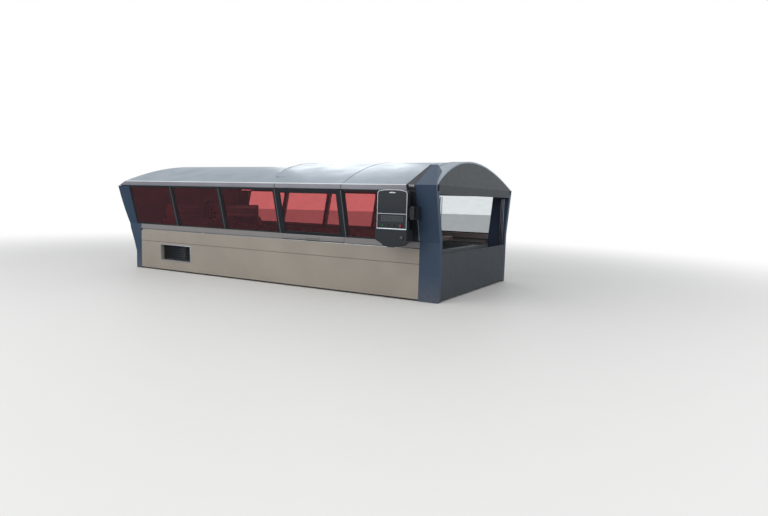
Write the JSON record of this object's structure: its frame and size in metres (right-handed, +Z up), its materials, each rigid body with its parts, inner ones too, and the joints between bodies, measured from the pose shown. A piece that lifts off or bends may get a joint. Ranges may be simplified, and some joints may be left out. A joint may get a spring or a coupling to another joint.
{
  "type": "fiber laser cutting machine",
  "caption": "Long enclosed laser cutting machine with arched roof, leaning tinted windows, blue end columns, travelling gantry, slatted pallet and swivelling console.",
  "frame": {"origin": "on the floor, below the middle of the machine's bounding box", "axes": "+X along the machine to the end that the pallet leaves by, -Y towards the operator, +Z up"},
  "size_m": [7.36, 4.137, 2.294],
  "materials": {
    "machined_steel": "ground and oiled",
    "slat_steel": "sheared mild steel, heat stained",
    "ivory_powder_coat": "fine textured powder coat",
    "grey_enamel": "satin enamel",
    "black_enamel": "satin black enamel",
    "black_trim": "matt black",
    "tinted_laser_window": "tinted laser safety pane",
    "blue_enamel": "satin blue enamel",
    "satin_silver_sheet": "satin silver sheet",
    "charcoal_enamel": "fine textured charcoal enamel",
    "screen": "glossy dark screen",
    "red_button": "moulded",
    "green_button": "moulded"
  },
  "bodies": {
    "root": {"bed_frame": "grey_enamel", "slag_tray": "machined_steel", "near_left_foot": "machined_steel", "near_right_foot": "machined_steel", "far_left_foot": "machined_steel", "far_right_foot": "machined_steel", "duct_stub": "machined_steel", "near_guide_rail": "machined_steel", "far_guide_rail": "machined_steel", "near_lower_panel": "ivory_powder_coat", "near_upper_panel": "ivory_powder_coat", "far_side_panel": "ivory_powder_coat", "left_end_wall": "ivory_powder_coat", "port_grille": "black_enamel", "near_sill_left": "grey_enamel", "near_sill_right": "grey_enamel", "far_sill": "grey_enamel", "portal_1": "black_enamel", "portal_2": "black_enamel", "portal_3": "black_enamel", "portal_4": "black_enamel", "roof_band": "black_enamel", "near_window_1": "tinted_laser_window", "near_window_2": "tinted_laser_window", "near_window_3": "tinted_laser_window", "near_window_5": "tinted_laser_window", "far_window": "tinted_laser_window", "near_right_column": "blue_enamel", "far_right_column": "blue_enamel", "near_left_column": "blue_enamel", "far_left_column": "blue_enamel", "roof_left": "satin_silver_sheet", "roof_middle": "satin_silver_sheet", "roof_right": "satin_silver_sheet", "roof_hood": "satin_silver_sheet", "end_header": "charcoal_enamel", "end_apron": "charcoal_enamel", "console_bracket": "charcoal_enamel"},
    "window_leaf": {"leaf_frame": "grey_enamel", "leaf_window": "tinted_laser_window"},
    "door_upper": {"door_upper_leaf": "grey_enamel"},
    "door_lower": {"door_lower_leaf": "grey_enamel"},
    "gantry": {"gantry_beam": "grey_enamel", "near_carriage": "grey_enamel", "far_carriage": "grey_enamel"},
    "near_pinion": {"near_pinion": "machined_steel"},
    "far_pinion": {"far_pinion": "machined_steel"},
    "saddle": {"cross_saddle": "black_enamel"},
    "head": {"cutting_head": "grey_enamel"},
    "pallet": {"pallet": "slat_steel"},
    "rear_wheels": {"rear_wheelset": "machined_steel"},
    "front_wheels": {"front_wheelset": "machined_steel"},
    "console": {"console_housing": "charcoal_enamel", "console_bezel": "satin_silver_sheet", "console_screen": "screen", "console_desk": "charcoal_enamel"},
    "start_button": {"start_button": "green_button"},
    "pause_button": {"pause_button": "black_trim"},
    "emergency_button": {"emergency_button": "red_button"},
    "feed_knob": {"feed_knob": "black_trim"}
  },
  "joints": [
    {"name": "leaf_hinge", "type": "hinge", "parent": "root", "child": "window_leaf", "pos_m": [1.255, -1.8485, 1.736], "axis": [-1, 0, 0], "range_deg": [0, 75]},
    {"name": "door_upper_lift", "type": "slide", "parent": "root", "child": "door_upper", "axis": [0, 0, 1], "range_m": [0, 0.95]},
    {"name": "door_lower_lift", "type": "slide", "parent": "root", "child": "door_lower", "axis": [0, 0, 1], "range_m": [0, 0.475]},
    {"name": "gantry_travel", "type": "slide", "parent": "root", "child": "gantry", "axis": [1, 0, 0], "range_m": [0, 5.2]},
    {"name": "near_pinion_spin", "type": "hinge", "parent": "gantry", "child": "near_pinion", "pos_m": [-2.72, -1.2793, 0.775], "axis": [0, 0, 1], "range_deg": [0, 10280]},
    {"name": "far_pinion_spin", "type": "hinge", "parent": "gantry", "child": "far_pinion", "pos_m": [-2.72, 1.2793, 0.775], "axis": [0, 0, 1], "range_deg": [-10280, 0]},
    {"name": "cross_travel", "type": "slide", "parent": "gantry", "child": "saddle", "axis": [0, 1, 0], "range_m": [-0.6, 1.3]},
    {"name": "head_travel", "type": "slide", "parent": "saddle", "child": "head", "axis": [0, 0, 1], "range_m": [-0.02, 0.12]},
    {"name": "pallet_travel", "type": "slide", "parent": "root", "child": "pallet", "axis": [1, 0, 0], "range_m": [0, 6.7]},
    {"name": "rear_wheel_roll", "type": "hinge", "parent": "pallet", "child": "rear_wheels", "pos_m": [-2.52, 0, 0.8053], "axis": [0, 1, 0], "range_deg": [0, 9600]},
    {"name": "front_wheel_roll", "type": "hinge", "parent": "pallet", "child": "front_wheels", "pos_m": [2.28, 0, 0.8053], "axis": [0, 1, 0], "range_deg": [0, 9600]},
    {"name": "console_swivel", "type": "hinge", "parent": "root", "child": "console", "pos_m": [3.362, -1.985, 1.3], "axis": [0, 0, 1], "range_deg": [0, 75]},
    {"name": "start_press", "type": "slide", "parent": "console", "child": "start_button", "axis": [0, 1, 0], "range_m": [0, 0.005], "stiffness_N_per_m": 400},
    {"name": "pause_press", "type": "slide", "parent": "console", "child": "pause_button", "axis": [0, 1, 0], "range_m": [0, 0.005], "stiffness_N_per_m": 400},
    {"name": "emergency_press", "type": "slide", "parent": "console", "child": "emergency_button", "axis": [0, 1, 0], "range_m": [0, 0.005], "stiffness_N_per_m": 800},
    {"name": "knob_turn", "type": "hinge", "parent": "console", "child": "feed_knob", "pos_m": [3.0816, -2.0443, 1.2], "axis": [0, -1, 0], "range_deg": [-150, 150]}
  ],
  "couplings": [
    {"joint": "door_lower_lift", "follows": "door_upper_lift", "ratio": 0.5},
    {"joint": "near_pinion_spin", "follows": "gantry_travel", "rad_per_m": 34.483},
    {"joint": "far_pinion_spin", "follows": "gantry_travel", "rad_per_m": -34.483},
    {"joint": "rear_wheel_roll", "follows": "pallet_travel", "rad_per_m": 25},
    {"joint": "front_wheel_roll", "follows": "pallet_travel", "rad_per_m": 25}
  ]
}
